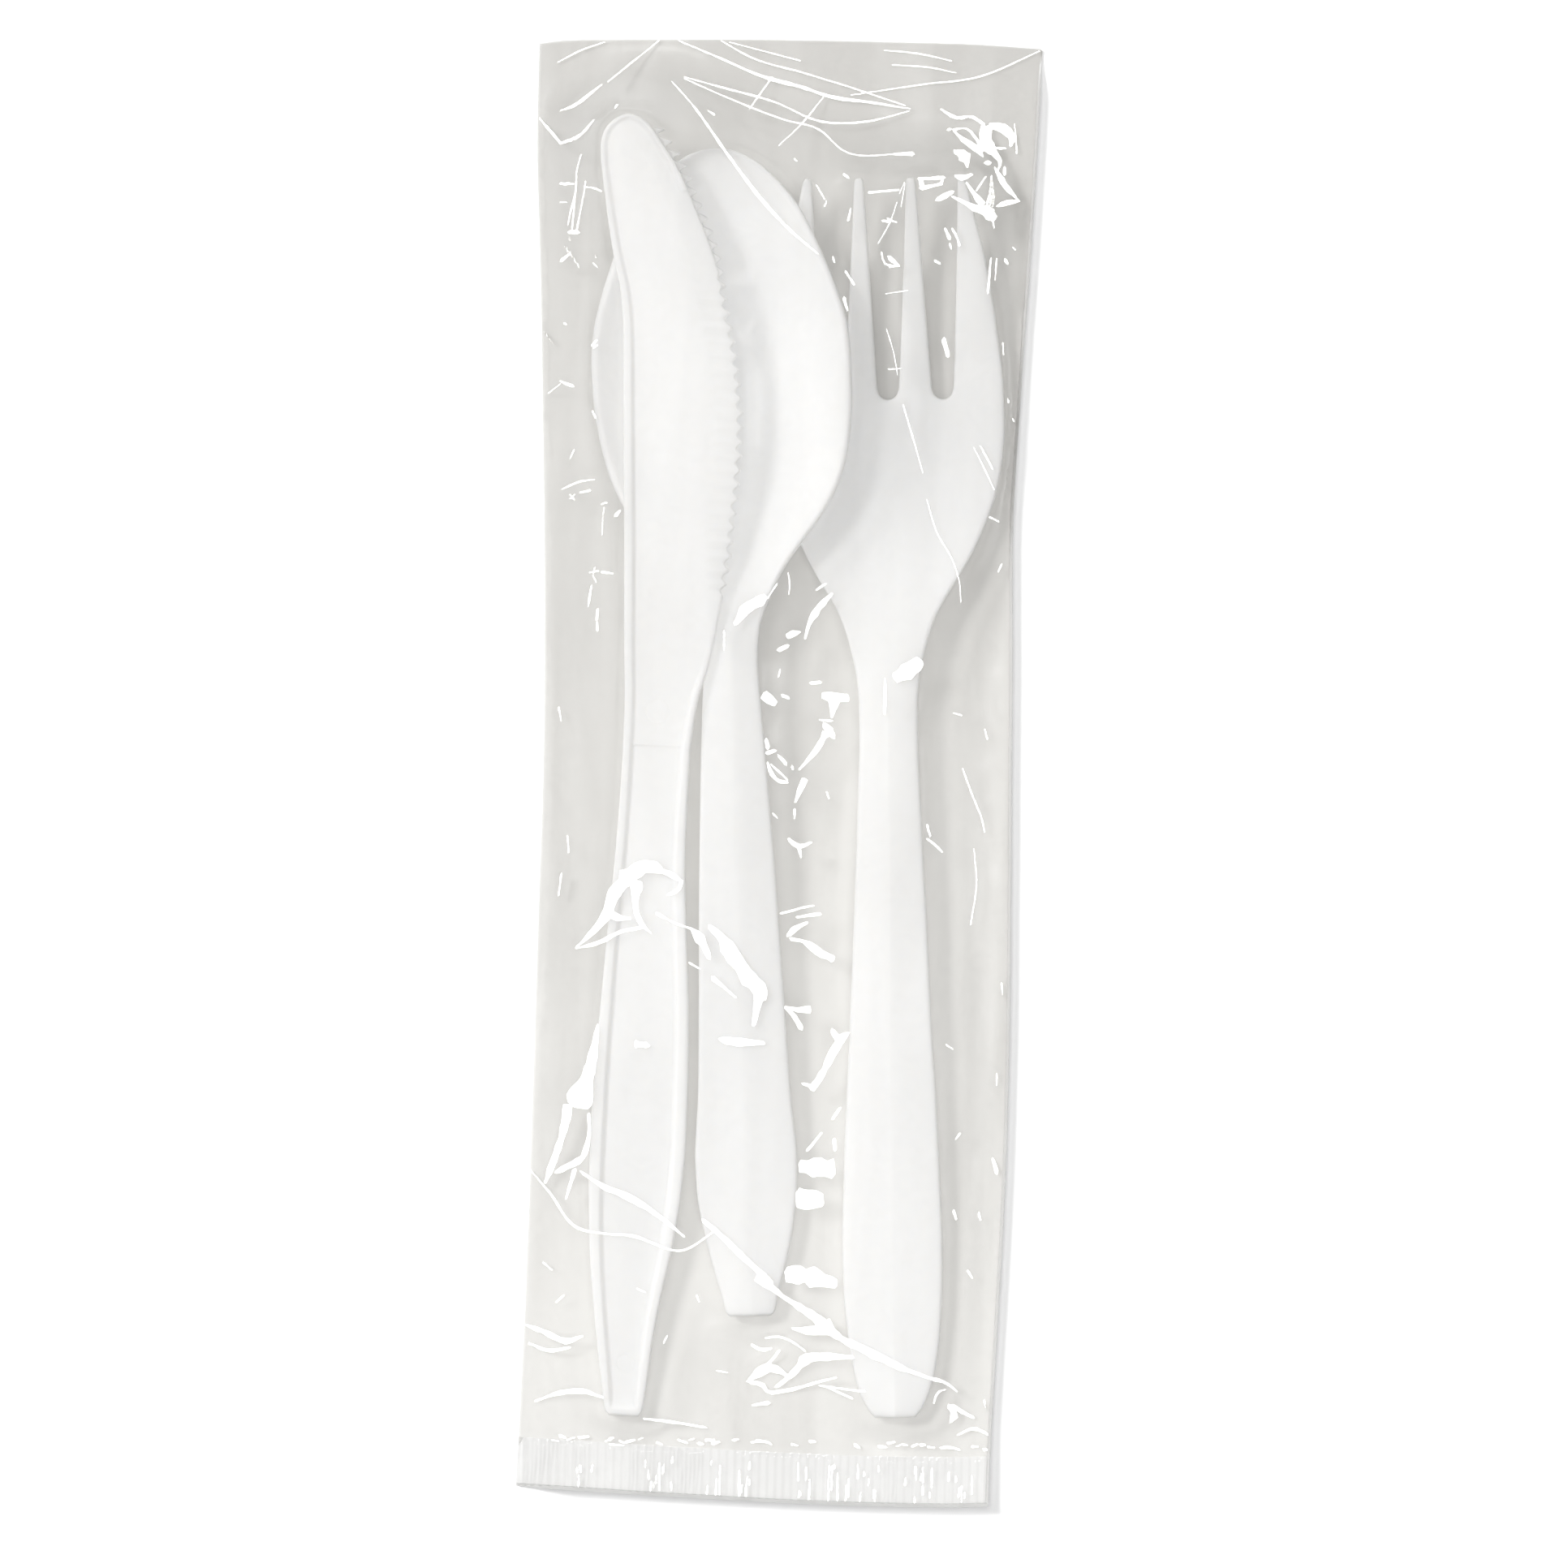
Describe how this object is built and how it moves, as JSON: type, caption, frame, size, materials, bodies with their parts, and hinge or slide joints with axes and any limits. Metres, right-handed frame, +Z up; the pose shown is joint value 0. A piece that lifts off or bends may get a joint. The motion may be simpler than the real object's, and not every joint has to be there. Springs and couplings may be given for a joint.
{
  "type": "wrapped plastic cutlery pack",
  "caption": "Sealed clear film pouch, crimped at one end and folded at the other, holding a white plastic knife, spoon and fork side by side.",
  "frame": {"origin": "middle of the pack's footprint, on the surface it lies on", "axes": "+Y along the pack from the crimped end to the folded end, +X from the knife to the fork, +Z up out of the front face"},
  "size_m": [0.0641, 0.1862, 0.0125],
  "materials": {
    "cutlery_plastic": "white polypropylene as moulded, smooth with a soft sheen, slightly translucent at thin edges",
    "clear_film": "clear glossy polypropylene film, creased, with a ribbed heat-sealed strip"
  },
  "bodies": {
    "root": {"knife": "cutlery_plastic", "spoon": "cutlery_plastic", "fork": "cutlery_plastic", "film_pouch": "clear_film"}
  },
  "joints": []
}
